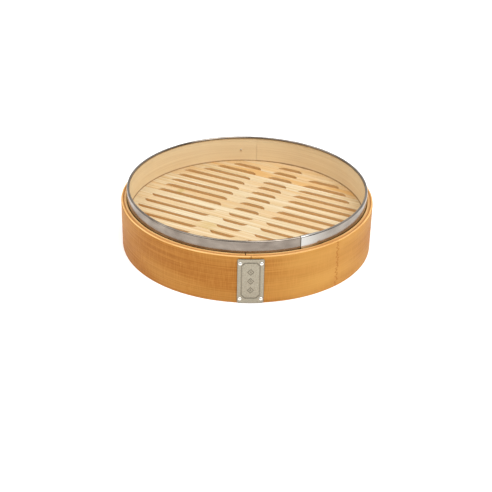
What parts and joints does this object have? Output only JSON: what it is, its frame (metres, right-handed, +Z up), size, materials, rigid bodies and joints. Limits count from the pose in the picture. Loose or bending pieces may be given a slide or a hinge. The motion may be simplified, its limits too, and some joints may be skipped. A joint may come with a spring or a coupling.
{
  "type": "bamboo steamer basket",
  "caption": "Round stackable bamboo steamer tier: a two-ply bent hoop, a proud inner hoop with a folded steel rim band, a notched slat floor on battens, and a small nailed nameplate.",
  "frame": {"origin": "on the hoops' axis, on the surface that the tier stands on", "axes": "+Z up out of the basket, -Y towards the nameplate at the front, +X to the right seen from the front"},
  "size_m": [0.305, 0.3074, 0.075],
  "materials": {
    "outer_ply_bamboo": "satin lacquered bamboo, toasted to a warm orange brown",
    "inner_ply_bamboo": "satin bamboo, cut edges paler",
    "hoop_bamboo": "satin pale bamboo",
    "slat_bamboo": "planed pale bamboo",
    "batten_bamboo": "sawn bamboo",
    "pin_bamboo": "whittled bamboo",
    "band_steel": "rolled stainless steel, satin",
    "plate_steel": "embossed stainless steel, matt",
    "nail_steel": "bright domed steel"
  },
  "bodies": {
    "root": {"outer_hoop_outer_ply": "outer_ply_bamboo", "outer_hoop_inner_ply": "inner_ply_bamboo", "inner_hoop": "hoop_bamboo", "steel_rim_band": "band_steel", "batten_left": "batten_bamboo", "batten_right": "batten_bamboo", "nameplate": "plate_steel", "hoop_lap_nail": "nail_steel", "floor_slat_01": "slat_bamboo", "floor_slat_02": "slat_bamboo", "floor_slat_03": "slat_bamboo", "floor_slat_04": "slat_bamboo", "floor_slat_05": "slat_bamboo", "floor_slat_06": "slat_bamboo", "floor_slat_07": "slat_bamboo", "floor_slat_08": "slat_bamboo", "floor_slat_09": "slat_bamboo", "floor_slat_10": "slat_bamboo", "floor_slat_11": "slat_bamboo", "floor_slat_12": "slat_bamboo", "floor_slat_13": "slat_bamboo", "floor_slat_14": "slat_bamboo", "floor_slat_15": "slat_bamboo", "floor_slat_16": "slat_bamboo", "floor_slat_17": "slat_bamboo", "floor_slat_18": "slat_bamboo", "batten_pin_left_front": "pin_bamboo", "batten_pin_left_back": "pin_bamboo", "batten_pin_right_front": "pin_bamboo", "batten_pin_right_back": "pin_bamboo", "nameplate_nail_bottom_left": "nail_steel", "nameplate_nail_bottom_right": "nail_steel", "nameplate_nail_top_left": "nail_steel", "nameplate_nail_top_right": "nail_steel"}
  },
  "joints": []
}
